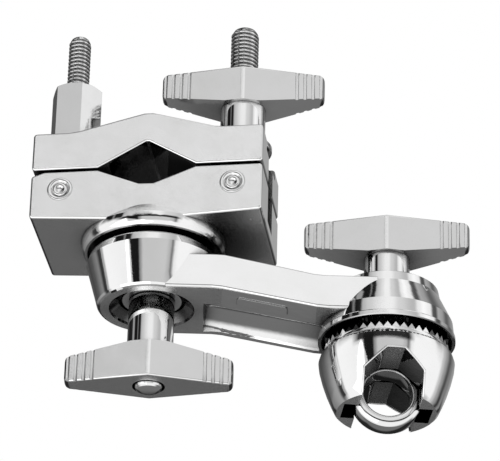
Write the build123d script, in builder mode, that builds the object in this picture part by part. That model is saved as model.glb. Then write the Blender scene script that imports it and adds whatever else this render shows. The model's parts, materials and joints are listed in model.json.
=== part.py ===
"""Swivelling pipe clamp with a bent arm and a ratchet rod holder.

Frame: Z is the axis of the gripped pipe, Y is the axis of the clamping bolts,
X runs from the jaws towards the rod holder. The origin is the centre of the
pipe opening, halfway through the jaws. Millimetres.
"""
import math
import os

from build123d import *

# ---- jaws -----------------------------------------------------------------
JAW_W = 65.0            # along X
JAW_D = 35.0            # along Z
BOLT_X = 24.2           # swing bolts and their pins, either side of the pipe
PIN_Y = -7.5
PIN_R = 2.48
PIN_HEAD_R = 3.5
V_HALF = 13.8           # half width of the pipe opening
BASE_TOP = -1.9
BASE_END = -16.2        # underside at the two ends
BASE_MID = -17.8        # underside at the middle
JAW_BOTTOM = -1.1
JAW_TOP = 10.6
JAW_PEAK = 15.8
SLOT_HALF = 4.5         # slots for the swing bolts, half width along Z
EYE_R = 5.2
EYE_HALF = 4.2

# ---- bolts and nuts ---------------------------------------------------------
M8_R = 4.0
M8_BORE_R = 4.06
SMALL_R = 3.2           # thread of the hinge-side bolt
SMALL_BORE_R = 3.26
BOLT_TIP = 51.7
HEX_AF = 13.0
HEX_Y0 = 10.65
HEX_Y1 = 34.0
HEX_TURN = 9.2
WASHER_R = 8.45
SLEEVE_R = 6.4

# ---- wing nuts --------------------------------------------------------------
WING_HALF = 23.2
WING_MID_Z = 7.8        # half width at the middle, along Z
WING_END_Z = 2.3        # half width at the tips
WING_MID_Y = 10.8       # depth at the middle
WING_END_Y = 7.5        # depth at the tips
WING_SKIN = 3.6         # metal between the insert and the outer face
GROOVE_PITCH = 2.27

CLAMP_WING_Y = 35.75    # outer faces
HUB_WING_Y = -61.0
HOLDER_WING_Y = -9.5
CLAMP_TURN = 5.7        # how far each part stands turned about Y
HUB_TURN = 7.4
HOLDER_NUT_TURN = 4.6

# ---- arm --------------------------------------------------------------------
ARM_LEN = 65.2          # between the two swivel axes
ARM_TURN = 8.15
ARM_HALF = 14.75        # half width along Z
HUB_TOP = -18.7
HUB_BOTTOM = -37.3

# ---- rod holder -------------------------------------------------------------
HOLDER_TURN = 13.8
TEETH = 48
TOOTH_H = 1.5
TOOTH_R0 = 12.4
TOOTH_R1 = 17.2
HOLDER_ROOT = -49.15
COLLAR_ROOT = -43.45
HOLDER_END = -67.3
RING_Y = -62.6
RING_R = 9.8
RING_BORE_R = 6.7
RING_HALF = 3.35
RING_SLOT_HALF = 4.4
SPRING_R = 6.0
SPRING_WIRE_R = 0.5
SPRING_Y0 = -47.2
SPRING_Y1 = -33.6

AXIS_B = (
    ARM_LEN * math.cos(math.radians(ARM_TURN)),
    0,
    -ARM_LEN * math.sin(math.radians(ARM_TURN)),
)


def placed(part, origin, turn, flip=False):
    """Move a part built on the Y axis to its axis, turned about Y."""
    if flip:
        part = part.rotate(Axis.X, 180)
    return part.rotate(Axis.Y, turn).moved(Location(origin))


def tooth(r0, r1, root_y, height, phase):
    """One radial ratchet tooth; a negative height points towards -Y."""
    sunk = -0.3 if height > 0 else 0.3
    wires = []
    for r in (r0, r1):
        w = r * math.tan(math.pi / TEETH) * 0.98
        pts = [
            (r, root_y + sunk, -w),
            (r, root_y, -w),
            (r, root_y + height, 0),
            (r, root_y, w),
            (r, root_y + sunk, w),
        ]
        wires.append(Wire.make_polygon([Vector(*p) for p in pts], close=True))
    return Solid.make_loft(wires, ruled=True).rotate(Axis.Y, phase)


def tooth_ring(r0, r1, root_y, height, phase):
    step = 360 / TEETH
    return [tooth(r0, r1, root_y, height, phase + i * step) for i in range(TEETH)]


# ---- base jaw ---------------------------------------------------------------
with BuildPart() as base_jaw:
    with BuildSketch(Plane.XY.offset(-JAW_D / 2)):
        with BuildLine():
            Polyline(
                (-JAW_W / 2, BASE_END),
                (-5, BASE_MID),
                (5, BASE_MID),
                (JAW_W / 2, BASE_END),
                (JAW_W / 2, BASE_TOP),
                (V_HALF, BASE_TOP),
                (4.2, -5.75),
                (2.0, -6.6),
                (-2.0, -6.6),
                (-4.2, -5.75),
                (-V_HALF, BASE_TOP),
                (-28.8, BASE_TOP),
                (-JAW_W / 2, BASE_TOP - 1.2),
                close=True,
            )
        make_face()
    extrude(amount=JAW_D)
    ends = base_jaw.edges().filter_by(Axis.Z).group_by(Axis.X)
    fillet(ends[0] + ends[-1], radius=1.0)
    fillet(base_jaw.faces().sort_by(Axis.Z)[-1].edges(), radius=0.6)
    fillet(base_jaw.faces().sort_by(Axis.Z)[0].edges(), radius=0.6)
    with BuildSketch(Plane.XY):
        with BuildLine():
            Polyline(
                (0, -11.6),
                (16.0, -11.6),
                (17.0, -12.6),
                (18.2, -14.6),
                (19.6, -16.2),
                (20.4, -17.0),
                (20.4, -18.2),
                (19.9, -19.9),
                (19.3, -20.6),
                (18.6, -20.7),
                (18.3, -20.3),
                (18.3, -18.5),
                (0, -18.5),
                close=True,
            )
        make_face()
    revolve(axis=Axis.Y)
    with BuildSketch(Plane.XZ.offset(5)):
        Circle(6.6)
    extrude(amount=6.5, mode=Mode.SUBTRACT)
    with BuildSketch(Plane.XZ.offset(5)):
        Circle(4.1)
    extrude(amount=20, mode=Mode.SUBTRACT)
    with Locations((BOLT_X + 4.4, -5.65, 0)):
        Box(20, 15.3, 2 * SLOT_HALF, mode=Mode.SUBTRACT)
    with Locations((-BOLT_X, -6.5, 0)):
        Box(11.2, 14, 2 * SLOT_HALF, mode=Mode.SUBTRACT)
    with BuildSketch(Plane.XY.offset(-JAW_D / 2)):
        with Locations((-BOLT_X, PIN_Y), (BOLT_X, PIN_Y)):
            Circle(PIN_R + 0.02)
    extrude(amount=JAW_D, mode=Mode.SUBTRACT)
    for side in (-1, 1):
        with Locations((-BOLT_X, PIN_Y, side * JAW_D / 2), (BOLT_X, PIN_Y, side * JAW_D / 2)):
            Cylinder(PIN_HEAD_R + 0.05, 1.2, mode=Mode.SUBTRACT)
base_jaw.part.label = "base_jaw"

# ---- upper jaw --------------------------------------------------------------
with BuildPart() as upper_jaw:
    with BuildSketch(Plane.XY.offset(-JAW_D / 2)):
        with BuildLine():
            Polyline(
                (-JAW_W / 2, JAW_BOTTOM),
                (-V_HALF, JAW_BOTTOM),
                (-0.4, 6.7),
                (0.4, 6.7),
                (V_HALF, JAW_BOTTOM),
                (JAW_W / 2, JAW_BOTTOM),
                (JAW_W / 2, JAW_TOP),
                (21.0, JAW_TOP),
                (18.6, JAW_TOP + 0.25),
                (3.0, JAW_PEAK - 0.45),
                (1.2, JAW_PEAK),
                (-1.2, JAW_PEAK),
                (-3.0, JAW_PEAK - 0.45),
                (-19.4, JAW_TOP + 0.45),
                (-22.5, JAW_TOP),
                (-JAW_W / 2, JAW_TOP),
                close=True,
            )
        make_face()
    extrude(amount=JAW_D)
    ends = upper_jaw.edges().filter_by(Axis.Z).group_by(Axis.X)
    fillet(ends[0] + ends[-1], radius=1.0)
    fillet(upper_jaw.faces().sort_by(Axis.Z)[-1].edges(), radius=0.6)
    fillet(upper_jaw.faces().sort_by(Axis.Z)[0].edges(), radius=0.6)
    with Locations((BOLT_X + 4.4, 5, 0)):
        Box(20, 24, 2 * SLOT_HALF, mode=Mode.SUBTRACT)
    with Locations((-BOLT_X, 5, 0)):
        Box(8.4, 24, 2 * SLOT_HALF - 1, mode=Mode.SUBTRACT)
    with BuildSketch(Plane.XY.offset(-9.2)):
        with BuildLine():
            Polyline((28.8, 10.85), (JAW_W / 2 + 1, 10.85), (JAW_W / 2 + 1, 5.8), close=True)
        make_face()
    extrude(amount=18.4, mode=Mode.SUBTRACT)
    for seat_x, seat_r in ((BOLT_X, WASHER_R + 0.6), (-BOLT_X, HEX_AF / 2 + 1.5)):
        with BuildSketch(Plane.XZ.offset(-JAW_PEAK)):
            with Locations((seat_x, 0)):
                Circle(seat_r)
        extrude(amount=JAW_PEAK - JAW_TOP, mode=Mode.SUBTRACT)
upper_jaw.part.label = "upper_jaw"


# ---- pivot pins -------------------------------------------------------------
def pivot_pin(x):
    with BuildPart() as pin:
        with Locations((x, PIN_Y, 0)):
            Cylinder(PIN_R, JAW_D - 0.8)
        for side in (-1, 1):
            with Locations((x, PIN_Y, side * (JAW_D / 2 - 0.1))):
                Cylinder(PIN_HEAD_R, 0.7)
            with Locations((x, PIN_Y, side * (JAW_D / 2 + 0.25))):
                Torus(2.6, 0.22, mode=Mode.SUBTRACT)
            with Locations((x, PIN_Y, side * (JAW_D / 2 + 0.35))):
                Sphere(0.7, mode=Mode.SUBTRACT)
        rims = pin.edges().filter_by(GeomType.CIRCLE).group_by(Axis.Z)
        for rim in (rims[0], rims[-1]):
            fillet(rim.sort_by(SortBy.RADIUS)[-1], radius=0.15)
    return pin.part


hinge_pin = pivot_pin(-BOLT_X)
hinge_pin.label = "hinge_pin"
latch_pin = pivot_pin(BOLT_X)
latch_pin.label = "latch_pin"


# ---- swing bolts ------------------------------------------------------------
def swing_bolt(x, r):
    with BuildPart() as bolt:
        with Locations((x, PIN_Y, 0)):
            Cylinder(EYE_R, 2 * EYE_HALF)
        fillet(bolt.edges().filter_by(GeomType.CIRCLE), radius=0.5)
        with BuildSketch(Plane.XZ.offset(-BOLT_TIP)):
            with Locations((x, 0)):
                Circle(r)
        extrude(amount=BOLT_TIP - PIN_Y - 1)
        tip = bolt.faces().sort_by(Axis.Y)[-1].edges()
        chamfer(tip, length=0.8)
        with Locations((x, PIN_Y, 0)):
            Cylinder(PIN_R + 0.06, 3 * EYE_HALF, mode=Mode.SUBTRACT)
    return bolt.part


hinge_bolt = swing_bolt(-BOLT_X, SMALL_R)
hinge_bolt.label = "hinge_bolt"
clamp_bolt = swing_bolt(BOLT_X, M8_R)
clamp_bolt.label = "clamp_bolt"

# ---- tall hexagon nut -------------------------------------------------------
with BuildPart() as hinge_nut:
    with BuildSketch(Plane.XZ.offset(-HEX_Y1)):
        with Locations((-BOLT_X, 0)):
            RegularPolygon(HEX_AF / 2, 6, major_radius=False, rotation=HEX_TURN)
    extrude(amount=HEX_Y1 - HEX_Y0)
    with BuildSketch(Plane.XY):
        with BuildLine():
            Polyline(
                (-BOLT_X, HEX_Y0),
                (-BOLT_X + 6.6, HEX_Y0),
                (-BOLT_X + 8.0, HEX_Y0 + 0.8),
                (-BOLT_X + 8.0, HEX_Y1 - 1.3),
                (-BOLT_X + 5.9, HEX_Y1),
                (-BOLT_X, HEX_Y1),
                close=True,
            )
        make_face()
    revolve(axis=Axis((-BOLT_X, 0, 0), (0, 1, 0)), mode=Mode.INTERSECT)
    with BuildSketch(Plane.XZ.offset(-HEX_Y1 - 1)):
        with Locations((-BOLT_X, 0)):
            Circle(SMALL_BORE_R)
    extrude(amount=HEX_Y1, mode=Mode.SUBTRACT)
hinge_nut.part.label = "hinge_nut"


# ---- wing nuts: cast wings, threaded inserts and flange washers -------------
def wings():
    """Outer face at y = 0, body towards -Y."""
    with BuildPart() as wing:
        with BuildSketch(Plane.XZ):
            with BuildLine():
                Polyline(
                    (-WING_HALF, -WING_END_Z),
                    (0, -WING_MID_Z),
                    (WING_HALF, -WING_END_Z),
                    (WING_HALF, WING_END_Z),
                    (0, WING_MID_Z),
                    (-WING_HALF, WING_END_Z),
                    close=True,
                )
            make_face()
        extrude(amount=WING_MID_Y)
        with BuildSketch(Plane.XY.offset(-WING_MID_Z)):
            with BuildLine():
                Polyline(
                    (-WING_HALF, 0),
                    (WING_HALF, 0),
                    (WING_HALF, -WING_END_Y),
                    (5.0, -WING_MID_Y),
                    (-5.0, -WING_MID_Y),
                    (-WING_HALF, -WING_END_Y),
                    close=True,
                )
            make_face()
        extrude(amount=2 * WING_MID_Z, mode=Mode.INTERSECT)
        tips = wing.edges().group_by(Axis.X)
        fillet(tips[0] + tips[-1], radius=1.7)
        fillet(wing.faces().sort_by(Axis.Y)[-1].edges(), radius=0.5)
        for sx in (-1, 1):
            for i in range(4):
                x = WING_HALF - 0.9 - i * GROOVE_PITCH
                z = WING_END_Z + (WING_HALF - x) * (WING_MID_Z - WING_END_Z) / WING_HALF
                for sz in (-1, 1):
                    with Locations((sx * x, -6, sz * (z + 0.15))):
                        Cylinder(0.6, 16, rotation=(90, 0, 0), mode=Mode.SUBTRACT)
        with BuildSketch(Plane.XZ.offset(WING_SKIN)):
            Circle(SLEEVE_R + 0.02)
        extrude(amount=WING_MID_Y, mode=Mode.SUBTRACT)
        with BuildSketch(Plane.XZ.offset(-1)):
            Circle(4.5)
        extrude(amount=WING_SKIN + 2, mode=Mode.SUBTRACT)
    return wing.part


def insert(length):
    """Threaded insert from inside the wings down to its flange washer."""
    with BuildPart() as sleeve:
        with BuildSketch(Plane.XZ.offset(WING_SKIN + 0.02)):
            Circle(SLEEVE_R)
        extrude(amount=length - WING_SKIN - 0.02)
        foot = sleeve.faces().sort_by(Axis.Y)[0].edges()
        fillet(foot, radius=0.3)
        with BuildSketch(Plane.XZ):
            Circle(M8_BORE_R)
        extrude(amount=length + 1, mode=Mode.SUBTRACT)
    return sleeve.part


def flange_washer(thickness):
    """Upper face at y = 0."""
    with BuildPart() as washer:
        with BuildSketch(Plane.XZ):
            Circle(WASHER_R)
            Circle(4.3, mode=Mode.SUBTRACT)
        extrude(amount=thickness)
        rims = washer.edges().filter_by(GeomType.CIRCLE).sort_by(SortBy.RADIUS)
        fillet(rims[-2:], radius=0.35)
    return washer.part


AXIS_C = (BOLT_X, CLAMP_WING_Y, 0)
clamp_wing_nut = placed(wings(), AXIS_C, CLAMP_TURN)
clamp_wing_nut.label = "clamp_wing_nut"
clamp_insert = placed(insert(22.6), AXIS_C, CLAMP_TURN)
clamp_insert.label = "clamp_insert"
clamp_washer = flange_washer(1.75).moved(Location((BOLT_X, 13.1, 0)))
clamp_washer.label = "clamp_washer"

hub_wing_nut = placed(wings(), (0, HUB_WING_Y, 0), HUB_TURN, flip=True)
hub_wing_nut.label = "hub_wing_nut"
hub_insert = placed(insert(26.0), (0, HUB_WING_Y, 0), HUB_TURN, flip=True)
hub_insert.label = "hub_insert"
hub_washer = flange_washer(1.75).moved(Location((0, -33.2, 0)))
hub_washer.label = "hub_washer"

HOLDER_NUT_AT = (AXIS_B[0], HOLDER_WING_Y, AXIS_B[2])
holder_wing_nut = placed(wings(), HOLDER_NUT_AT, HOLDER_NUT_TURN)
holder_wing_nut.label = "holder_wing_nut"
holder_insert = placed(insert(19.3), HOLDER_NUT_AT, HOLDER_NUT_TURN)
holder_insert.label = "holder_insert"
holder_washer = flange_washer(1.55).moved(Location((AXIS_B[0], -28.85, AXIS_B[2])))
holder_washer.label = "holder_washer"

# ---- hub bolt ---------------------------------------------------------------
with BuildPart() as hub_bolt:
    with BuildSketch(Plane.XY):
        with BuildLine():
            Polyline(
                (0, -8.3),
                (5.6, -8.3),
                (6.4, -9.0),
                (6.4, -11.45),
                (M8_R, -11.45),
                (M8_R, -61.0),
                (3.7, -61.6),
                (2.9, -62.1),
                (1.6, -62.45),
                (0, -62.5),
                close=True,
            )
        make_face()
    revolve(axis=Axis.Y)
hub_bolt.part.label = "hub_bolt"

# ---- arm --------------------------------------------------------------------
with BuildPart() as arm:
    with BuildSketch(Plane.XY.offset(-ARM_HALF)):
        with BuildLine():
            Polyline(
                (4, -26.9),
                (17.6, -26.9),
                (20.0, -27.0),
                (44.6, -32.3),
                (47.6, -32.6),
                (62, -32.6),
                (62, -42.7),
                (48.4, -42.7),
                (45.4, -42.45),
                (19.4, -37.55),
                (16.6, HUB_BOTTOM),
                (4, HUB_BOTTOM),
                close=True,
            )
        make_face()
    extrude(amount=2 * ARM_HALF)
    fillet(arm.faces().sort_by(Axis.Z)[-1].edges().filter_by(Axis.Y, reverse=True), radius=0.7)
    fillet(arm.faces().sort_by(Axis.Z)[0].edges().filter_by(Axis.Y, reverse=True), radius=0.7)
    with BuildSketch(Plane.XY):
        with BuildLine():
            Polyline(
                (0, HUB_TOP),
                (14.6, HUB_TOP),
                (16.7, -19.3),
                (17.5, -20.9),
                (18.1, -22.6),
                (18.6, -24.6),
                (15.3, -36.4),
                (14.9, -37.0),
                (14.3, HUB_BOTTOM),
                (0, HUB_BOTTOM),
                close=True,
            )
        make_face()
    revolve(axis=Axis.Y)
    with BuildSketch(Plane.XY):
        with BuildLine():
            Polyline(
                (ARM_LEN, -30.5),
                (ARM_LEN + 14.0, -30.5),
                (ARM_LEN + 14.4, -30.8),
                (ARM_LEN + 14.9, -33.4),
                (ARM_LEN + 18.3, -40.7),
                (ARM_LEN + 18.7, -44.6),
                (ARM_LEN + 19.0, -44.9),
                (ARM_LEN + 19.0, -46.0),
                (ARM_LEN + 18.7, -46.2),
                (ARM_LEN, -46.2),
                close=True,
            )
        make_face()
    revolve(axis=Axis((ARM_LEN, 0, 0), (0, 1, 0)))
    with BuildSketch(Plane.XY):
        with BuildLine():
            Polyline(
                (0, -33.1),
                (9.2, -33.1),
                (9.4, -34.6),
                (11.6, -36.6),
                (12.2, -38.0),
                (0, -38.0),
                close=True,
            )
        make_face()
    revolve(axis=Axis.Y, mode=Mode.SUBTRACT)
    with BuildSketch(Plane.XZ.offset(18)):
        Circle(4.15)
    extrude(amount=20, mode=Mode.SUBTRACT)
    with BuildSketch(Plane.XY):
        with BuildLine():
            Polyline(
                (ARM_LEN, -33.5),
                (ARM_LEN + 7.2, -33.5),
                (ARM_LEN + 7.2, -43.0),
                (ARM_LEN + 12.0, COLLAR_ROOT),
                (ARM_LEN + 17.6, COLLAR_ROOT),
                (ARM_LEN + 18.1, -45.2),
                (ARM_LEN + 18.1, -47.0),
                (ARM_LEN, -47.0),
                close=True,
            )
        make_face()
    revolve(axis=Axis((ARM_LEN, 0, 0), (0, 1, 0)), mode=Mode.SUBTRACT)
    with BuildSketch(Plane.XZ.offset(29)):
        with Locations((ARM_LEN, 0)):
            Circle(4.3)
    extrude(amount=8, mode=Mode.SUBTRACT)
    trough = Plane(origin=(14.4, -36.6, -4.2), x_dir=(0, 0, 1), z_dir=(29, -5.1, 0))
    with BuildSketch(trough):
        with Locations((0, 2.4)):
            Ellipse(9.0, 5.4)
    extrude(amount=33, mode=Mode.SUBTRACT)
    pad = Plane(origin=(30.6, -39.5, 8.3), x_dir=(26, -4.9, 0), z_dir=(-4.9, -26, 0))
    with BuildSketch(pad):
        RectangleRounded(14, 5, 1)
    extrude(amount=0.5)
    add(
        [
            t.moved(Location((ARM_LEN, 0, 0)))
            for t in tooth_ring(
                TOOTH_R0, 17.0, COLLAR_ROOT, -TOOTH_H, HOLDER_TURN - ARM_TURN + 180 / TEETH
            )
        ]
    )
arm_part = arm.part.rotate(Axis.Y, ARM_TURN)
arm_part.label = "arm"

# ---- rod holder -------------------------------------------------------------
with BuildPart() as rod_holder:
    with BuildSketch(Plane.XY):
        with BuildLine():
            Polyline(
                (0, SPRING_Y0),
                (8.6, SPRING_Y0),
                (9.2, HOLDER_ROOT),
                (17.3, HOLDER_ROOT),
                (17.5, -50.0),
                (18.3, -51.1),
                (18.75, -52.6),
                (18.5, -54.8),
                (17.7, -58.0),
                (16.6, -61.4),
                (15.4, -64.4),
                (14.4, -66.6),
                (13.7, HOLDER_END),
                (0, HOLDER_END),
                close=True,
            )
        make_face()
    revolve(axis=Axis.Y)
    with BuildSketch(Plane.XY.offset(-25)):
        with BuildLine():
            Polyline(
                (-2.5, -55.7),
                (2.5, -55.7),
                (8.3, -60.6),
                (8.3, -70),
                (-8.3, -70),
                (-8.3, -60.6),
                close=True,
            )
        make_face()
    extrude(amount=50, mode=Mode.SUBTRACT)
    with Locations((0, -60.6, 0)):
        Box(24.4, 20, 2 * RING_SLOT_HALF, mode=Mode.SUBTRACT)
    with BuildSketch(Plane.XZ.offset(40)):
        Circle(4.15)
    extrude(amount=20, mode=Mode.SUBTRACT)
    add(tooth_ring(TOOTH_R0, TOOTH_R1, HOLDER_ROOT, TOOTH_H, 0))
rod_holder_part = placed(rod_holder.part, AXIS_B, HOLDER_TURN)
rod_holder_part.label = "rod_holder"

# ---- eyebolt ----------------------------------------------------------------
with BuildPart() as eyebolt:
    with Locations((0, RING_Y, 0)):
        Cylinder(RING_R, 2 * RING_HALF)
    chamfer(eyebolt.edges().filter_by(GeomType.CIRCLE), length=1.0)
    with BuildSketch(Plane.XZ.offset(8.6)):
        Circle(M8_R)
    extrude(amount=46)
    chamfer(eyebolt.faces().sort_by(Axis.Y)[-1].edges(), length=0.8)
    with Locations((0, RING_Y, 0)):
        Cylinder(RING_BORE_R, 4 * RING_HALF, mode=Mode.SUBTRACT)
eyebolt_part = placed(eyebolt.part, AXIS_B, HOLDER_TURN)
eyebolt_part.label = "eyebolt"

# ---- holder spring ----------------------------------------------------------
with BuildPart() as holder_spring:
    turns = 6
    rise = SPRING_Y1 - SPRING_Y0 - 2 * SPRING_WIRE_R - 0.1
    start = Vector(SPRING_R, 0, 0)
    with BuildLine() as coil:
        Helix(pitch=rise / turns, height=rise, radius=SPRING_R)
    with BuildSketch(Plane(origin=coil.line @ 0, z_dir=coil.line % 0)):
        Circle(SPRING_WIRE_R)
    sweep(path=coil.line)
spring_part = holder_spring.part.rotate(Axis.X, -90)
spring_part = spring_part.moved(Location((AXIS_B[0], SPRING_Y0 + SPRING_WIRE_R + 0.05, AXIS_B[2])))
spring_part.label = "holder_spring"

# ---- export -----------------------------------------------------------------
os.makedirs("parts", exist_ok=True)
export_step(base_jaw.part, "parts/base_jaw.step")
export_step(upper_jaw.part, "parts/upper_jaw.step")
export_step(hinge_pin, "parts/hinge_pin.step")
export_step(latch_pin, "parts/latch_pin.step")
export_step(hinge_bolt, "parts/hinge_bolt.step")
export_step(clamp_bolt, "parts/clamp_bolt.step")
export_step(hinge_nut.part, "parts/hinge_nut.step")
export_step(clamp_wing_nut, "parts/clamp_wing_nut.step")
export_step(clamp_insert, "parts/clamp_insert.step")
export_step(clamp_washer, "parts/clamp_washer.step")
export_step(hub_wing_nut, "parts/hub_wing_nut.step")
export_step(hub_insert, "parts/hub_insert.step")
export_step(hub_washer, "parts/hub_washer.step")
export_step(hub_bolt.part, "parts/hub_bolt.step")
export_step(arm_part, "parts/arm.step")
export_step(rod_holder_part, "parts/rod_holder.step")
export_step(eyebolt_part, "parts/eyebolt.step")
export_step(spring_part, "parts/holder_spring.step")
export_step(holder_wing_nut, "parts/holder_wing_nut.step")
export_step(holder_insert, "parts/holder_insert.step")
export_step(holder_washer, "parts/holder_washer.step")
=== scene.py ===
"""Looks of the swivelling pipe clamp: threads, softened castings, chrome, studio and camera."""
import json
import math

import bmesh
import bpy
import numpy as np
from mathutils import Matrix, Vector

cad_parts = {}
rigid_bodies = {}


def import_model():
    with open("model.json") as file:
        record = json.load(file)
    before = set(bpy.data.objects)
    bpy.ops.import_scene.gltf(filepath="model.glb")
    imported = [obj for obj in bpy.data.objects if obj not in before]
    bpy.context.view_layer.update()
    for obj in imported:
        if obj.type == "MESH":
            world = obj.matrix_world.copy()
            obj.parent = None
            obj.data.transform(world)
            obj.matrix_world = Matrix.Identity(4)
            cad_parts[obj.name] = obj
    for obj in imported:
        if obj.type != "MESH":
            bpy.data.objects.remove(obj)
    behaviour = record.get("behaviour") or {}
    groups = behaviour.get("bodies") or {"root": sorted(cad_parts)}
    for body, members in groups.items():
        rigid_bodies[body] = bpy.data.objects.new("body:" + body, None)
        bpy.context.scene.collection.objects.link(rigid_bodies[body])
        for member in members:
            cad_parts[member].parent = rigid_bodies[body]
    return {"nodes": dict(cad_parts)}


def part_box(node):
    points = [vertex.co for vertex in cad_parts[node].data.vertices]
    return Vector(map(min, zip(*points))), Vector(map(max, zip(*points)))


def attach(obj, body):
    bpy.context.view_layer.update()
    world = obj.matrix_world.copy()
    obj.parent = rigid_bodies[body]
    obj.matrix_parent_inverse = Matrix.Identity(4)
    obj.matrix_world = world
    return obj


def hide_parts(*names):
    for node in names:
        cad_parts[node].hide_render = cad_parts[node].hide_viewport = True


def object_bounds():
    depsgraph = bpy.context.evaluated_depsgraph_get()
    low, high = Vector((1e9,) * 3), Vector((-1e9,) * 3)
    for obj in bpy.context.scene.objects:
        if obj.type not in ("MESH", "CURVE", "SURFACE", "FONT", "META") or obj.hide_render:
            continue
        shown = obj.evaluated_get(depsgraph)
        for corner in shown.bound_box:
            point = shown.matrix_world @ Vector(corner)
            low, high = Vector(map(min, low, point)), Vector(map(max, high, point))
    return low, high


MM = 0.001

for start_object in list(bpy.data.objects):
    bpy.data.objects.remove(start_object)

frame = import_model()
cad_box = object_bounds()
nodes = frame["nodes"]

# ---- driving sizes, from the frame ------------------------------------------
PITCH = 1.25 * MM
THREAD_DEPTH = 0.62 * MM
ROWS_PER_PITCH = 14
M8_R = 4.0 * MM
SMALL_BOLT_R = 3.2 * MM
TURN_HOLDER = math.radians(13.8)


def middle(node):
    """Centre of a node's box."""
    low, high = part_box(node)
    return (low + high) / 2


# ---- materials ----------------------------------------------------------------
def add_node(tree, kind, place=(0, 0), **values):
    node = tree.nodes.new(kind)
    node.location = place
    for name, value in values.items():
        setattr(node, name, value)
    return node


def noise(tree, source, scale, detail=4.0, rough=0.6):
    node = add_node(tree, "ShaderNodeTexNoise")
    node.inputs["Scale"].default_value = scale
    node.inputs["Detail"].default_value = detail
    node.inputs["Roughness"].default_value = rough
    tree.links.new(source, node.inputs["Vector"])
    return node.outputs["Fac"]


def span(tree, value, low_in, high_in, low_out, high_out):
    """A value mapped from one range to another, clamped."""
    node = add_node(tree, "ShaderNodeMapRange")
    for name, number in (
        ("From Min", low_in),
        ("From Max", high_in),
        ("To Min", low_out),
        ("To Max", high_out),
    ):
        node.inputs[name].default_value = number
    tree.links.new(value, node.inputs["Value"])
    return node.outputs["Result"]


def maths(tree, operation, *values):
    node = add_node(tree, "ShaderNodeMath", operation=operation)
    for i, value in enumerate(values):
        if isinstance(value, (int, float)):
            node.inputs[i].default_value = value
        else:
            tree.links.new(value, node.inputs[i])
    return node.outputs["Value"]


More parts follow.
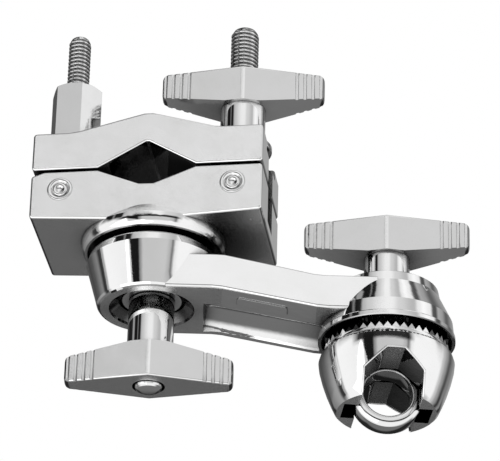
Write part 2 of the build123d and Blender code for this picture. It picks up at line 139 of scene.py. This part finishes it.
def chrome(name, polish, satin, orange_peel, grain, shade, recess_shade=0.12, scratch=0.5,
           reach=16 * MM, shut=0.34, clear=0.7):
    """Plated metal: polished where curved, satin on flat cast faces.

    polish and satin are roughnesses, orange_peel and grain bump heights, shade the
    reflectance, scratch how strong the fine handling marks are. The base colour also
    carries painted shade from ambient occlusion in hollows and where parts meet.
    """
    mat = bpy.data.materials.new(name)
    mat.use_nodes = True
    tree = mat.node_tree
    tree.nodes.clear()
    out = add_node(tree, "ShaderNodeOutputMaterial", (900, 0))
    bsdf = add_node(tree, "ShaderNodeBsdfPrincipled", (600, 0))
    bsdf.inputs["Metallic"].default_value = 1.0
    tree.links.new(bsdf.outputs["BSDF"], out.inputs["Surface"])
    coord = add_node(tree, "ShaderNodeTexCoord", (-1200, 0))
    place = coord.outputs["Object"]
    facing = add_node(tree, "ShaderNodeSeparateXYZ", (-900, -300))
    tree.links.new(coord.outputs["Normal"], facing.inputs["Vector"])
    # flat cast faces: those square to the pipe axis or to the bolt axis
    across = maths(tree, "ABSOLUTE", facing.outputs["Z"])
    along = maths(tree, "ABSOLUTE", facing.outputs["Y"])
    flat = span(tree, maths(tree, "MAXIMUM", across, along), 0.985, 0.997, 0.0, 1.0)
    # fine handling scratches: noise stretched along one direction, twice
    stretch = add_node(tree, "ShaderNodeMapping", (-900, 300))
    stretch.inputs["Scale"].default_value = (260, 5200, 900)
    stretch.inputs["Rotation"].default_value = (0.3, 0.2, 0.5)
    tree.links.new(place, stretch.inputs["Vector"])
    hair = noise(tree, stretch.outputs["Vector"], 1.0, 2.0, 0.5)
    hair_mark = span(tree, hair, 0.66, 0.78, 0.0, scratch)
    # dull patches where the plating is handled
    patch = noise(tree, place, 95.0, 5.0, 0.62)
    patch_mark = span(tree, patch, 0.35, 0.72, 0.0, 1.0)
    fine = noise(tree, place, 3800.0, 3.0, 0.7)
    base_rough = span(tree, flat, 0.0, 1.0, polish, satin)
    patch_rough = maths(tree, "MULTIPLY", patch_mark, 0.35)
    rough = maths(tree, "MULTIPLY", base_rough, maths(tree, "ADD", 0.82, patch_rough))
    rough = maths(tree, "ADD", rough, maths(tree, "MULTIPLY", hair_mark, 0.06))
    tree.links.new(rough, bsdf.inputs["Roughness"])
    # colour: nearly neutral plating, with slight tarnish in the dull patches
    ramp = add_node(tree, "ShaderNodeValToRGB", (200, 300))
    ramp.color_ramp.elements[0].color = (shade, shade, shade * 1.004, 1)
    ramp.color_ramp.elements[1].color = (shade * 0.93, shade * 0.93, shade * 0.925, 1)
    stain = maths(tree, "ADD", maths(tree, "MULTIPLY", patch_mark, 0.6),
                  maths(tree, "MULTIPLY", fine, 0.4))
    tree.links.new(stain, ramp.inputs["Fac"])
    # painted shade: the base colour is darkened by ambient occlusion in recesses and where parts
    # meet
    occlusion_shade = add_node(tree, "ShaderNodeAmbientOcclusion", samples=8)
    occlusion_shade.inputs["Distance"].default_value = reach
    painted_shade_share = span(tree, occlusion_shade.outputs["AO"], shut, clear, recess_shade, 1.0)
    tone = add_node(tree, "ShaderNodeMix", data_type="RGBA", blend_type="MULTIPLY")
    tone.inputs["Factor"].default_value = 1.0
    first, second = [s for s in tone.inputs if s.type == "RGBA"]
    tree.links.new(ramp.outputs["Color"], first)
    tree.links.new(painted_shade_share, second)
    tree.links.new([s for s in tone.outputs if s.type == "RGBA"][0], bsdf.inputs["Base Color"])
    # relief: soft orange peel of a plated casting, grain on the satin faces, scratches
    peel = noise(tree, place, 420.0, 2.0, 0.5)
    height = maths(tree, "MULTIPLY", peel, orange_peel)
    grain_height = maths(tree, "MULTIPLY", maths(tree, "MULTIPLY", fine, flat), grain)
    height = maths(tree, "ADD", height, grain_height)
    height = maths(tree, "SUBTRACT", height, maths(tree, "MULTIPLY", hair_mark, 0.002))
    bump = add_node(tree, "ShaderNodeBump", (300, -400))
    bump.inputs["Strength"].default_value = 1.0
    bump.inputs["Distance"].default_value = MM
    tree.links.new(height, bump.inputs["Height"])
    tree.links.new(bump.outputs["Normal"], bsdf.inputs["Normal"])
    return mat


# each material darkens its base colour with painted shade in hollows; the thread's short reach
# paints shade into its grooves
MATERIALS = {
    "chrome_casting": chrome("chrome_casting", 0.05, 0.24, 0.010, 0.05, 0.93, recess_shade=0.03,
                             shut=0.44, clear=0.8),
    "chrome_wings": chrome("chrome_wings", 0.06, 0.24, 0.010, 0.05, 0.9),
    "chrome_thread": chrome("chrome_thread", 0.16, 0.24, 0.004, 0.01, 0.9, recess_shade=0.04,
                            reach=1.1 * MM, shut=0.5, clear=0.92),
    "chrome_turned": chrome("chrome_turned", 0.045, 0.12, 0.003, 0.01, 0.9),
    "spring_steel": chrome("spring_steel", 0.16, 0.2, 0.002, 0.01, 0.6),
}


def paint(obj, slot_name):
    obj.data.materials.clear()
    obj.data.materials.append(MATERIALS[slot_name])
    return obj


def add_to_scene(name, mesh, body, slot_name):
    """Links a mesh as a piece that rides on a body."""
    obj = bpy.data.objects.new(name, mesh)
    bpy.context.scene.collection.objects.link(obj)
    paint(obj, slot_name)
    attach(obj, body)
    return obj


def piece(name, verts, faces, body, replaced, slot_name, sharp=35.0):
    """A new mesh piece that stands for a node, riding on its body."""
    mesh = bpy.data.meshes.new(name)
    mesh.from_pydata([tuple(v) for v in verts], [], faces)
    return finish_piece(name, mesh, body, replaced, slot_name, sharp)


def finish_piece(name, mesh, body, replaced, slot_name, sharp=35.0):
    mesh.validate()
    mesh.shade_smooth()
    mesh.set_sharp_from_angle(angle=math.radians(sharp))
    obj = add_to_scene(name, mesh, body, slot_name)
    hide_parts(replaced)
    return obj


# ---- turned shapes --------------------------------------------------------------
def lathe(profile, segments, centre, axis="Y"):
    """A closed solid turned about an axis through centre; profile is (radius, height)."""
    verts, faces, rows = [], [], []
    for radius, height in profile:
        row = []
        count = 1 if radius < 1e-9 else segments
        for j in range(count):
            a = 2 * math.pi * j / segments
            u, w = radius * math.cos(a), radius * math.sin(a)
            local = Vector((u, height, -w)) if axis == "Y" else Vector((u, w, height))
            row.append(len(verts))
            verts.append(Vector(centre) + local)
        rows.append(row)
    for low, high in zip(rows, rows[1:]):
        for j in range(segments):
            k = (j + 1) % segments
            if len(low) == 1:
                faces.append((low[0], high[k], high[j]))
            elif len(high) == 1:
                faces.append((low[j], low[k], high[0]))
            else:
                faces.append((low[j], low[k], high[k], high[j]))
    return verts, faces


def thread_rows(y0, y1):
    """Heights of the rows of a thread along Y, at even steps of the pitch."""
    count = max(2, int(round((y1 - y0) / PITCH * ROWS_PER_PITCH)))
    return [y0 + (y1 - y0) * i / count for i in range(count + 1)]


def thread_radius(turn, radius, depth):
    """Rounded 60 degree profile; turn runs 0..1 over one pitch."""
    away = abs(2 * (turn % 1.0) - 1.0)
    rise = min(1.0, max(0.0, (away - 0.16) / 0.7))
    rise = rise * rise * (3 - 2 * rise) * 0.45 + rise * 0.55
    return radius - depth * rise


def threaded_shaft(centre, stations, radius, depth, segments=60):
    """A shaft about Y. stations are (y, limit radius, thread share) along it."""
    ys = [s[0] for s in stations]
    limits = [s[1] for s in stations]
    shares = [s[2] for s in stations]
    low, high = ys[0], ys[-1]
    rows = sorted(set(thread_rows(low, high)) | set(ys))
    verts, faces = [], []
    for y in rows:
        limit = float(np.interp(y, ys, limits))
        share = float(np.interp(y, ys, shares))
        for j in range(segments):
            a = 2 * math.pi * j / segments
            cut = thread_radius(y / PITCH + j / segments, radius, depth)
            r = min(limit, radius + (cut - radius) * share)
            verts.append((centre[0] + r * math.cos(a), y, centre[2] - r * math.sin(a)))
    for i in range(len(rows) - 1):
        for j in range(segments):
            k = (j + 1) % segments
            faces.append((i * segments + j, i * segments + k,
                          (i + 1) * segments + k, (i + 1) * segments + j))
    faces.append(tuple(range(segments - 1, -1, -1)))
    last = (len(rows) - 1) * segments
    faces.append(tuple(last + j for j in range(segments)))
    return verts, faces


def joined(*shapes):
    verts, faces = [], []
    for shape_verts, shape_faces in shapes:
        shift = len(verts)
        verts += [tuple(v) for v in shape_verts]
        faces += [tuple(i + shift for i in f) for f in shape_faces]
    return verts, faces


def ring(outer, bore, half, outer_cut, bore_cut, centre, segments=96):
    """A closed ring about Z, chamfered outside and in the bore, each corner just eased."""
    ease = 0.12 * MM
    corners = [
        (outer, half - outer_cut), (outer, outer_cut - half),
        (outer - outer_cut, -half), (bore + bore_cut, -half),
        (bore, bore_cut - half), (bore, half - bore_cut),
        (bore + bore_cut, half), (outer - outer_cut, half),
    ]
    points = []
    for i, corner in enumerate(corners):
        here = Vector(corner)
        for other in (corners[i - 1], corners[(i + 1) % len(corners)]):
            points.append(here + (Vector(other) - here).normalized() * ease)
    verts, faces = lathe([tuple(p) for p in points], segments, centre, axis="Z")
    last = (len(points) - 1) * segments
    for j in range(segments):
        k = (j + 1) % segments
        faces.append((last + j, last + k, k, j))
    faces = [tuple(reversed(f)) for f in faces]
    return verts, faces


# ---- swing bolts: threaded shank on an eye ---------------------------------------
def swing_bolt(node, body, radius, pin):
    low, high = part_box(node)
    at = middle(pin)
    eye_r = at.y - low.y
    half = high.z
    shank = radius - 0.5 * THREAD_DEPTH
    foot = at.y + eye_r * 0.72
    start = at.y + 15 * MM
    tip = high.y
    stations = [
        (foot, shank, 0.0),
        (start, shank, 0.0),
        (start + 0.8 * MM, radius, 1.0),
        (tip - 1.7 * MM, radius, 1.0),
        (tip - 0.35 * MM, radius * 0.8, 1.0),
        (tip, radius * 0.68, 1.0),
    ]
    shaft = threaded_shaft((at.x, 0, 0), stations, radius, THREAD_DEPTH)
    eye = ring(eye_r, 2.54 * MM, half, 0.5 * MM, 0.25 * MM, (at.x, at.y, 0), 72)
    verts, faces = joined(shaft, eye)
    return piece(node + "_threaded", verts, faces, body, node, "chrome_thread")


swing_bolt("hinge_bolt", "upper_jaw", SMALL_BOLT_R, "hinge_pin")
swing_bolt("clamp_bolt", "clamp_bolt", M8_R, "latch_pin")


# ---- hub bolt and eyebolt ------------------------------------------------------------
def hub_bolt():
    """A bolt whose head sits in the base; its threaded end shows in the lower wing nut."""
    low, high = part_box("hub_bolt")
    end = low.y
    rod = M8_R
    stations = [
        (end, 1.2 * MM, 0.0),
        (end + 0.12 * MM, 2.3 * MM, 0.0),
        (end + 0.45 * MM, 3.1 * MM, 0.0),
        (end + 0.95 * MM, 3.62 * MM, 0.0),
        (end + 1.5 * MM, 3.85 * MM, 0.3),
        (end + 2.2 * MM, rod, 1.0),
        (end + 30 * MM, rod, 1.0),
        (end + 31 * MM, rod, 0.0),
        (high.y - 2.9 * MM, rod, 0.0),
    ]
    shaft = threaded_shaft((0, 0, 0), stations, rod, THREAD_DEPTH)
    head_r = high.x
    neck, head_low = high.y - 3.15 * MM, high.y
    profile = [(0, neck), (head_r - 0.3 * MM, neck), (head_r, neck + 0.3 * MM),
               (head_r, head_low - 0.7 * MM), (head_r - 0.8 * MM, head_low), (0, head_low)]
    head = lathe(profile, 64, (0, 0, 0))
    verts, faces = joined(shaft, head)
    return piece("hub_bolt_threaded", verts, faces, "base", "hub_bolt", "chrome_thread")


hub_bolt()


def eyebolt():
    """The ring that grips the rod, on a threaded shank; turned with the holder."""
    ring_r, bore_r, half = 9.8 * MM, 6.7 * MM, 3.35 * MM
    outer_cut, bore_cut = 1.0 * MM, 0.35 * MM
    centre = middle("holder_washer")
    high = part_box("eyebolt")[1].y
    ring_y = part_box("eyebolt")[0].y + ring_r
    shaft = threaded_shaft((0, 0, 0), [
        (ring_y + 8.6 * MM, 3.7 * MM, 0.0),
        (ring_y + 24 * MM, 3.7 * MM, 0.0),
        (ring_y + 25 * MM, M8_R, 1.0),
        (high - 0.7 * MM, M8_R, 1.0),
        (high, 3.2 * MM, 1.0),
    ], M8_R, THREAD_DEPTH)
    eye = ring(ring_r, bore_r, half, outer_cut, bore_cut, (0, ring_y, 0), 120)
    verts, faces = joined(shaft, eye)
    spin = Matrix.Rotation(TURN_HOLDER, 3, "Y")
    verts = [spin @ Vector(v) + Vector((centre.x, 0, centre.z)) for v in verts]
    return piece("eyebolt_ring", verts, faces, "eyebolt", "eyebolt", "chrome_turned", 40.0)


eyebolt()


# ---- softened castings -----------------------------------------------------------
FLAT_WITHIN = 0.4            # degrees between triangles that are one flat face
RIDGE_ANGLES = (20, 32)      # degrees: the crease along the middle of each wing nut
RIDGE_LENGTH = 5 * MM
WING_EDGE = 0.42 * MM
WING_RIDGE = 0.7 * MM
HEX_EDGE = 0.35 * MM
JAW_EDGE = 0.3 * MM
BASE_EDGE = 0.25 * MM


def without_own_normals(mesh):
    """Drops the normals that came with a node's mesh."""
    if "custom_normal" in mesh.attributes:
        mesh.attributes.remove(mesh.attributes["custom_normal"])


def softened(node, body, width, slot_name, angle=28.0, segments=2, sharp=32.0, ridge=0):
    """A copy of a node's mesh with its seams joined and its sharp edges rounded.

    Edges steeper than angle are rounded by width, and the low ridges along the wings by
    ridge. The shading stays sharp above the sharp angle.
    """
    bm = bmesh.new()
    bm.from_mesh(nodes[node].data)
    bmesh.ops.remove_doubles(bm, verts=bm.verts, dist=1e-6)
    bmesh.ops.dissolve_limit(
        bm, angle_limit=math.radians(FLAT_WITHIN), verts=bm.verts, edges=bm.edges,
        use_dissolve_boundaries=False,
    )
    low_ridge, high_ridge = (math.radians(a) for a in RIDGE_ANGLES)
    ridges = [e for e in bm.edges if ridge and e.calc_length() > RIDGE_LENGTH
              and low_ridge < e.calc_face_angle(0) < high_ridge]
    if ridges:
        bmesh.ops.bevel(bm, geom=ridges, offset=ridge, segments=4, profile=0.5,
                        affect="EDGES", clamp_overlap=False)
    edges = [e for e in bm.edges if len(e.link_faces) == 2
             and e.calc_face_angle(0) > math.radians(angle)]
    bmesh.ops.bevel(
        bm, geom=edges, offset=width, segments=segments, profile=0.5,
        affect="EDGES", clamp_overlap=True, loop_slide=True,
    )
    mesh = bpy.data.meshes.new(node + "_cast")
    bm.to_mesh(mesh)
    bm.free()
    without_own_normals(mesh)
    obj = finish_piece(node + "_cast", mesh, body, node, slot_name, sharp)
    weigh = obj.modifiers.new("weighted", "WEIGHTED_NORMAL")
    weigh.keep_sharp = True
    weigh.weight = 80
    return obj


softened("hinge_nut", "upper_jaw", HEX_EDGE, "chrome_wings", angle=20.0, segments=3)
for wing, wing_body in (("clamp_wing_nut", "clamp_nut"), ("hub_wing_nut", "hub_nut"),
                        ("holder_wing_nut", "holder_nut")):
    softened(wing, wing_body, WING_EDGE, "chrome_wings", angle=33.0, segments=3, ridge=WING_RIDGE)
softened("upper_jaw", "upper_jaw", JAW_EDGE, "chrome_casting", angle=28.0, segments=2)
softened("base_jaw", "base", BASE_EDGE, "chrome_casting", angle=28.0, segments=2)


# ---- rod holder ------------------------------------------------------------------
# the holder's turned outside, as (height, radius) in mm from the foot to the shoulder
HOLDER_CONE = [(-67.3, 13.7), (-66.6, 14.4), (-64.4, 15.4), (-61.4, 16.6), (-58.0, 17.7),
               (-54.8, 18.5), (-52.6, 18.75), (-51.1, 18.3), (-50.0, 17.5)]


def cone_radius(y):
    heights, radii = zip(*HOLDER_CONE)
    return float(np.interp(y, heights, radii))


# the slope that the shading takes along the cone: steadier than the outline's own, so that
# reflections run straight from the foot to the teeth
SHADE_HEIGHTS = (-67.0, -64.0, -54.0, -50.0)
SHADE_SLOPES = (0.7, 0.34, 0.24, 0.12)
TOOTH_BASE = -49.9           # mm, where the turned outside ends
ON_CONE = 0.06               # mm, how near the outline a point has to be
SAME_WAY = 0.72              # least cosine between the shading and the face


def turned_normals(obj, centre):
    """Turned faces of the holder take a steady cone's normals, and the others stay flat."""
    mesh = obj.data
    normals = [None] * len(mesh.loops)
    for face in mesh.polygons:
        for i in face.loop_indices:
            at = mesh.vertices[mesh.loops[i].vertex_index].co - centre
            y = at.y / MM
            radial = Vector((at.x, 0, at.z))
            reach = radial.length / MM
            normals[i] = face.normal.copy()
            if reach < 1e-6 or abs(reach - cone_radius(y)) > ON_CONE or y > TOOTH_BASE:
                continue
            slope = float(np.interp(y, SHADE_HEIGHTS, SHADE_SLOPES))
            turned = (radial.normalized() - Vector((0, slope, 0))).normalized()
            if turned.dot(face.normal) > SAME_WAY:
                normals[i] = turned
    mesh.shade_smooth()
    mesh.normals_split_custom_set([tuple(n) for n in normals])


holder_mesh = nodes["rod_holder"].data.copy()
holder_mesh.name = "rod_holder_cast"
without_own_normals(holder_mesh)
holder_cast = add_to_scene("rod_holder_cast", holder_mesh, "rod_holder", "chrome_casting")
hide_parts("rod_holder")
axis = middle("rod_holder")
turned_normals(holder_cast, Vector((axis.x, 0, axis.z)))


def channel_lip(sides=8, radius=0.3):
    """The rounded rim round both mouths of the octagonal rod channel."""
    spin = Matrix.Rotation(TURN_HOLDER, 3, "Y")
    outline = [(-8.3, -66.9), (-8.3, -60.6), (-2.5, -55.7), (2.5, -55.7), (8.3, -60.6),
               (8.3, -66.9)]
    flat_path = []
    for start, end in zip(outline, outline[1:]):
        steps = max(2, int(math.dist(start, end) / 0.5))
        for i in range(steps):
            flat_path.append([start[k] + (end[k] - start[k]) * i / steps for k in (0, 1)])
    flat_path.append(list(outline[-1]))
    verts, faces = [], []
    for side in (1, -1):
        path = [Vector((x, y, side * math.sqrt(cone_radius(y) ** 2 - x * x)))
                for x, y in flat_path]
        first = len(verts)
        for i, point in enumerate(path):
            ahead = path[min(i + 1, len(path) - 1)] - path[max(i - 1, 0)]
            outward = Vector((point.x, 0, point.z)).normalized()
            across = ahead.cross(outward).normalized()
            up = across.cross(ahead).normalized()
            for k in range(sides):
                a = 2 * math.pi * k / sides
                local = point + (across * math.cos(a) + up * math.sin(a)) * radius
                verts.append(spin @ (local * MM) + Vector((axis.x, 0, axis.z)))
        for i in range(len(path) - 1):
            for k in range(sides):
                a, b = first + sides * i + k, first + sides * i + (k + 1) % sides
                faces.append((a, b, b + sides, a + sides))
        last = first + sides * (len(path) - 1)
        faces.append(tuple(first + k for k in range(sides - 1, -1, -1)))
        faces.append(tuple(last + k for k in range(sides)))
    mesh = bpy.data.meshes.new("channel_lip")
    mesh.from_pydata([tuple(v) for v in verts], [], faces)
    mesh.validate()
    bm = bmesh.new()
    bm.from_mesh(mesh)
    bmesh.ops.recalc_face_normals(bm, faces=bm.faces)
    bm.to_mesh(mesh)
    bm.free()
    mesh.shade_smooth()
    mesh.set_sharp_from_angle(angle=math.radians(50))
    add_to_scene("channel_lip", mesh, "rod_holder", "chrome_turned")


channel_lip()


# ---- peened pins ---------------------------------------------------------------
def peened_pin(node):
    """A pin with a raised rim, a dark groove and a dimpled centre at both ends."""
    centre = middle(node)
    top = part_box(node)[1].z
    shank = 2.48 * MM
    head = [(3.5, -0.62), (3.46, -0.16), (3.3, -0.03), (3.02, 0.0), (2.72, -0.04), (2.5, -0.2),
            (2.36, -0.52), (2.14, -0.56), (1.98, -0.3), (1.78, -0.12), (1.42, -0.1),
            (1.1, -0.2), (0.85, -0.42), (0.45, -0.56), (0, -0.6)]
    head = [(r * MM, h * MM + top) for r, h in head]
    neck = (shank, head[0][1] - 0.1 * MM)
    upper = [(shank, 0.0), neck, (3.45 * MM, neck[1])] + head
    lower = [(r, -h) for r, h in reversed(upper)]
    verts, faces = lathe(lower[:-1] + upper, 72, (centre.x, centre.y, 0), axis="Z")
    return piece(node + "_peened", verts, faces, "base", node, "chrome_turned", 60.0)


peened_pin("hinge_pin")
peened_pin("latch_pin")


# ---- every CAD node that still shows ------------------------------------------------
for cad_object in nodes.values():
    slot_name = cad_object.material_slots[0].material.name.split(".")[0]
    if slot_name in MATERIALS:
        paint(cad_object, slot_name)


# ---- studio ------------------------------------------------------------------------
def ramp_stops(ramp, stops):
    """Fills a colour ramp with (angle in degrees, brightness) stops over -180..180."""
    elements = ramp.color_ramp.elements
    ramp.color_ramp.interpolation = "EASE"
    while len(elements) > 1:
        elements.remove(elements[-1])
    for i, (angle, value) in enumerate(sorted(stops)):
        place = (angle + 180.0) / 360.0
        element = elements[0] if i == 0 else elements.new(place)
        element.position = place
        element.color = (value, value, value, 1)


world = bpy.data.worlds.new("studio")
bpy.context.scene.world = world
world.use_nodes = True
wt = world.node_tree
wt.nodes.clear()
w_out = add_node(wt, "ShaderNodeOutputWorld")
w_coord = add_node(wt, "ShaderNodeTexCoord")
w_split = add_node(wt, "ShaderNodeSeparateXYZ")
wt.links.new(w_coord.outputs["Generated"], w_split.inputs["Vector"])
turn = maths(wt, "ARCTAN2", w_split.outputs["Z"], w_split.outputs["X"])
turn = maths(wt, "ADD", maths(wt, "DIVIDE", turn, 2 * math.pi), 0.5)
# behind the object: a broad bright screen with dark flags either side
behind = add_node(wt, "ShaderNodeValToRGB")
ramp_stops(behind, [
    (-180, 0.30), (-176, 0.02), (-150, 0.012), (-140, 0.05), (-120, 0.09), (-98, 0.16),
    (-84, 0.38), (-70, 0.3), (-46, 0.12), (-30, 0.36), (-22, 0.42), (-14, 0.08), (-8, 0.1),
    (0, 0.9), (14, 1.05), (24, 0.9), (34, 0.52), (60, 0.7), (76, 0.94), (90, 0.94),
    (104, 0.8), (118, 0.64), (128, 0.5), (134, 0.02), (143, 0.01), (147, 0.22),
    (151, 0.01), (166, 0.01), (171, 0.34), (176, 0.34),
])
# overhead: two white softboxes with a black flag beside each
over = add_node(wt, "ShaderNodeValToRGB")
ramp_stops(over, [
    (-180, 0.04), (-174, 0.04), (-165, 0.36), (-135, 0.22), (-126, 0.02), (-64, 0.02),
    (-56, 0.26), (-46, 0.04), (-34, 0.34), (-26, 0.6), (-18, 0.98), (38, 1.0), (43, 0.9),
    (49, 0.2), (53, 0.5),
    (60, 0.62), (98, 0.6), (104, 0.3), (107, 0.01), (121, 0.01), (125, 0.95),
    (172, 1.0), (177, 0.4),
])
# in front: one large white softbox over a dark table
low_front = add_node(wt, "ShaderNodeMapRange", interpolation_type="SMOOTHSTEP")
low_front.inputs["From Min"].default_value = -0.3
low_front.inputs["From Max"].default_value = 0.12
low_front.inputs["To Min"].default_value = 0.17
low_front.inputs["To Max"].default_value = 1.0
wt.links.new(w_split.outputs["Z"], low_front.inputs["Value"])
for node, source in ((behind, turn), (over, turn)):
    wt.links.new(source, node.inputs["Fac"])


def colour_mix(tree, share, first, second):
    """Mixes two colours; first and second are sockets or plain colours."""
    node = add_node(tree, "ShaderNodeMix", data_type="RGBA")
    tree.links.new(share, node.inputs["Factor"])
    ends = [s for s in node.inputs if s.type == "RGBA"]
    for socket, value in zip(ends, (first, second)):
        if isinstance(value, tuple):
            socket.default_value = value
        else:
            tree.links.new(value, socket)
    return [s for s in node.outputs if s.type == "RGBA"][0]


y_out = w_split.outputs["Y"]
studio = colour_mix(wt, span(wt, y_out, -0.44, -0.3, 0.0, 1.0),
                    low_front.outputs["Result"], over.outputs["Color"])
studio = colour_mix(wt, span(wt, y_out, 0.1, 0.32, 0.0, 1.0), studio, behind.outputs["Color"])
# a black flag hangs over the object, between the softboxes and the screen
flag_y = maths(wt, "MULTIPLY", span(wt, y_out, 0.02, 0.07, 0.0, 1.0),
               span(wt, y_out, 0.2, 0.26, 1.0, 0.0))
flag = maths(wt, "MULTIPLY", flag_y, span(wt, w_split.outputs["Z"], 0.6, 0.75, 0.0, 0.97))
studio = colour_mix(wt, flag, studio, (0.01, 0.01, 0.01, 1))
w_path = add_node(wt, "ShaderNodeLightPath")
shown = colour_mix(wt, w_path.outputs["Is Camera Ray"], studio, (1, 1, 1, 1))
w_back = add_node(wt, "ShaderNodeBackground")
wt.links.new(shown, w_back.inputs["Color"])
wt.links.new(w_back.outputs["Background"], w_out.inputs["Surface"])

# floor: plain and pale to the eye, and clear to the reflections
FLOOR_DROP = 0.4 * MM
low, high = cad_box
floor_z = low[2] - FLOOR_DROP
floor_verts, floor_faces = [], []
FLOOR_REACH, FLOOR_STEPS = 6.0, 24
for i in range(FLOOR_STEPS + 1):
    for j in range(FLOOR_STEPS + 1):
        floor_verts.append((FLOOR_REACH * (2 * i / FLOOR_STEPS - 1),
                            FLOOR_REACH * (2 * j / FLOOR_STEPS - 1), floor_z))
for i in range(FLOOR_STEPS):
    for j in range(FLOOR_STEPS):
        a = i * (FLOOR_STEPS + 1) + j
        floor_faces.append((a, a + FLOOR_STEPS + 1, a + FLOOR_STEPS + 2, a + 1))
floor_mesh = bpy.data.meshes.new("floor")
floor_mesh.from_pydata(floor_verts, [], floor_faces)
floor = bpy.data.objects.new("floor", floor_mesh)
bpy.context.scene.collection.objects.link(floor)
floor_mat = bpy.data.materials.new("pale_floor")
floor_mat.use_nodes = True
ft = floor_mat.node_tree
ft.nodes.clear()
f_out = add_node(ft, "ShaderNodeOutputMaterial")
f_path = add_node(ft, "ShaderNodeLightPath")
f_seen = add_node(ft, "ShaderNodeEmission")
f_clear = add_node(ft, "ShaderNodeBsdfTransparent")
f_mix = add_node(ft, "ShaderNodeMixShader")
ft.links.new(f_path.outputs["Is Camera Ray"], f_mix.inputs["Fac"])
ft.links.new(f_clear.outputs["BSDF"], f_mix.inputs[1])
ft.links.new(f_seen.outputs["Emission"], f_mix.inputs[2])
ft.links.new(f_mix.outputs["Shader"], f_out.inputs["Surface"])
floor.data.materials.append(floor_mat)

# soft key light over the camera's left shoulder
key_data = bpy.data.lights.new("key", "AREA")
key_data.shape = "RECTANGLE"
key_data.size, key_data.size_y = 1.1, 0.8
key_data.energy = 1.6
key = bpy.data.objects.new("key", key_data)
key.location = (-0.45, -0.55, 0.75)
key.rotation_euler = (Vector((0, 0, 0)) - key.location).to_track_quat("-Z", "Y").to_euler()
bpy.context.scene.collection.objects.link(key)

# ---- camera --------------------------------------------------------------------------
ELEVATION, AZIMUTH, ROLL = (math.radians(a) for a in (60.58, 14.65, -15.276))
LENS = 234.28                # mm, on a 36 mm sensor
CAMERA_AT = (0.14007, -0.44617, 0.79278)
back_axis = Vector((math.sin(AZIMUTH) * math.cos(ELEVATION),
                    -math.cos(AZIMUTH) * math.cos(ELEVATION), math.sin(ELEVATION)))
level = Vector((0, 0, 1)).cross(back_axis).normalized()
upright = back_axis.cross(level)
right = math.cos(ROLL) * level + math.sin(ROLL) * upright
up = -math.sin(ROLL) * level + math.cos(ROLL) * upright
camera_data = bpy.data.cameras.new("camera")
camera_data.sensor_width = 36.0
camera_data.lens = LENS
camera_data.clip_end = 30.0
camera = bpy.data.objects.new("camera", camera_data)
spin = Matrix((right, up, back_axis)).transposed().to_4x4()
camera.matrix_world = Matrix.Translation(CAMERA_AT) @ spin
bpy.context.scene.collection.objects.link(camera)
bpy.context.scene.camera = camera
bpy.context.scene.view_settings.view_transform = "Standard"
